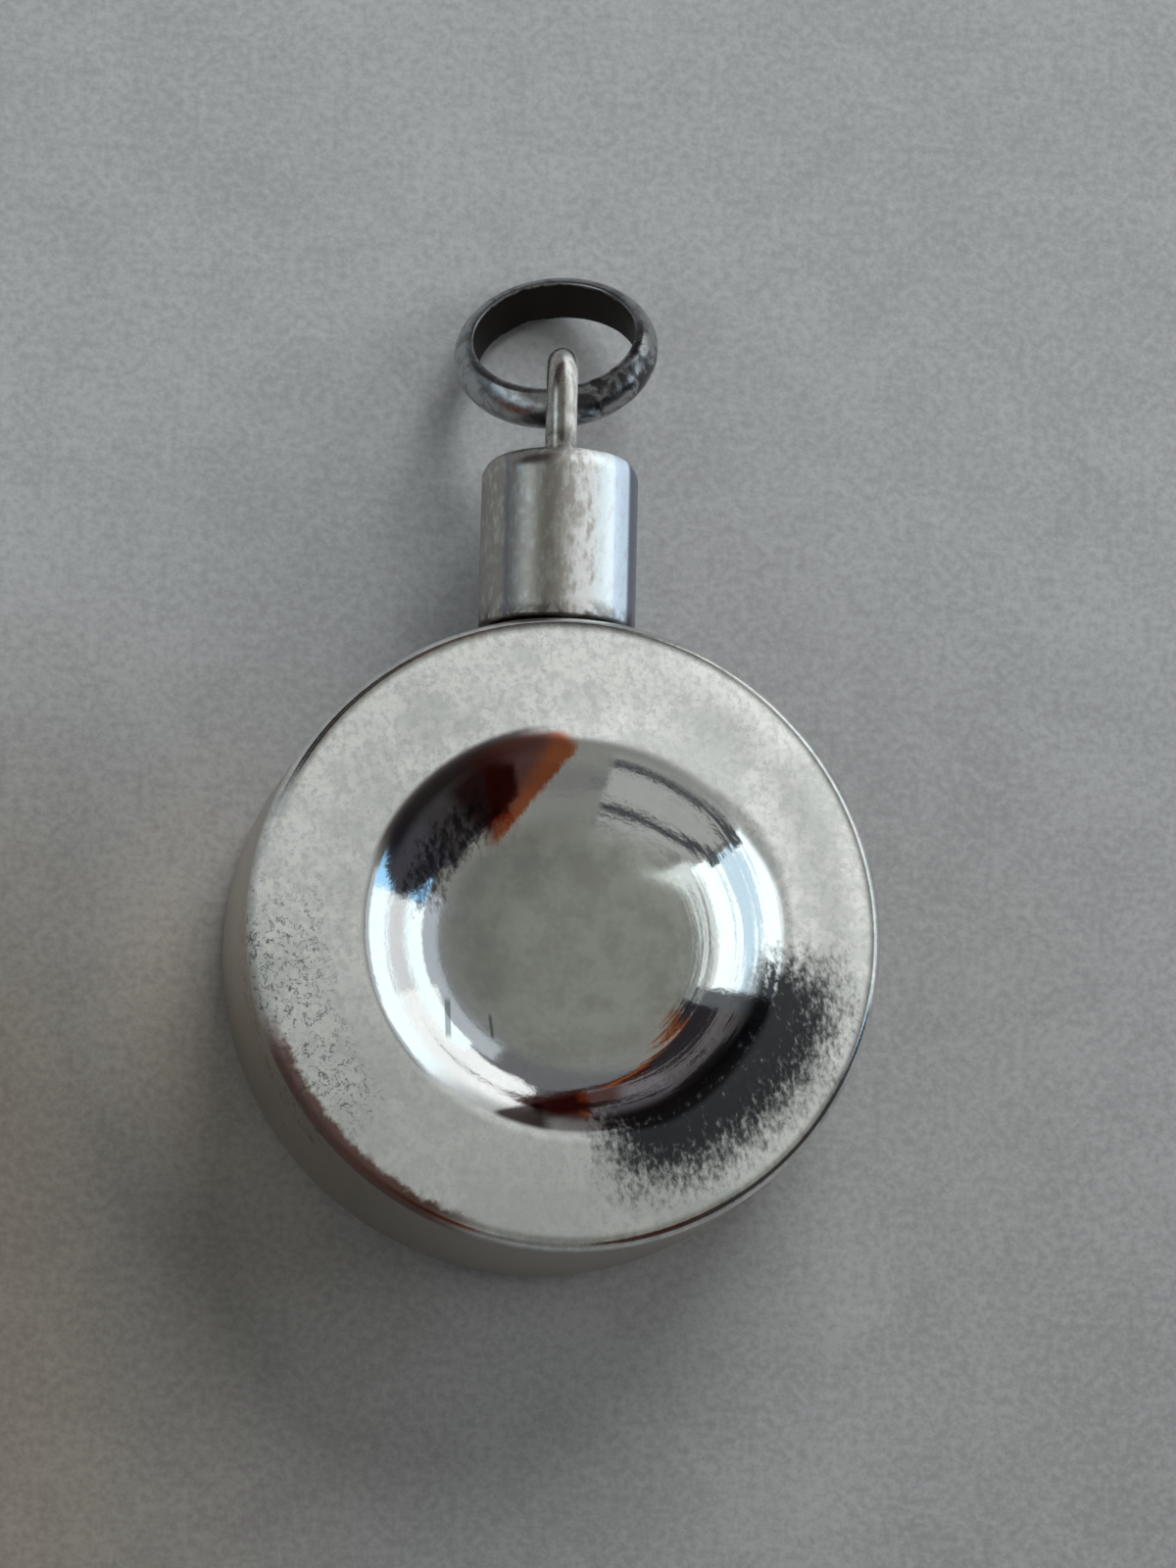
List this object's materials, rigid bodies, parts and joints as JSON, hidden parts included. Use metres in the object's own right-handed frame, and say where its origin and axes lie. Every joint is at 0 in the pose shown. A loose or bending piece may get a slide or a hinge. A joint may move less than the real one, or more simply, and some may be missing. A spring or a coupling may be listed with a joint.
{
  "type": "perfume bottle pendant",
  "caption": "Round silver flask pendant with a dished front, a lift-off cap on its neck, a soldered loop and a half-round jump ring for a chain.",
  "frame": {"origin": "middle of the flask's flat back face, on which it lies", "axes": "+Z out of the dished front face, +Y along the neck towards the cap and ring, +X to the right seen from the front"},
  "size_m": [0.028, 0.0455, 0.011],
  "materials": {
    "flask_silver": "worn polished silver with tarnish in the dish and fine scratches",
    "cap_silver": "worn polished silver with brownish mottled tarnish",
    "ring_silver": "worn silver, dark and oxidised on the flat inside"
  },
  "bodies": {
    "flask": {"flask": "flask_silver"},
    "cap": {"cap": "cap_silver", "jump_ring": "ring_silver"}
  },
  "joints": [
    {"name": "cap_lift", "type": "slide", "parent": "flask", "child": "cap", "axis": [0, 1, 0], "range_m": [0, 0.0075]}
  ]
}
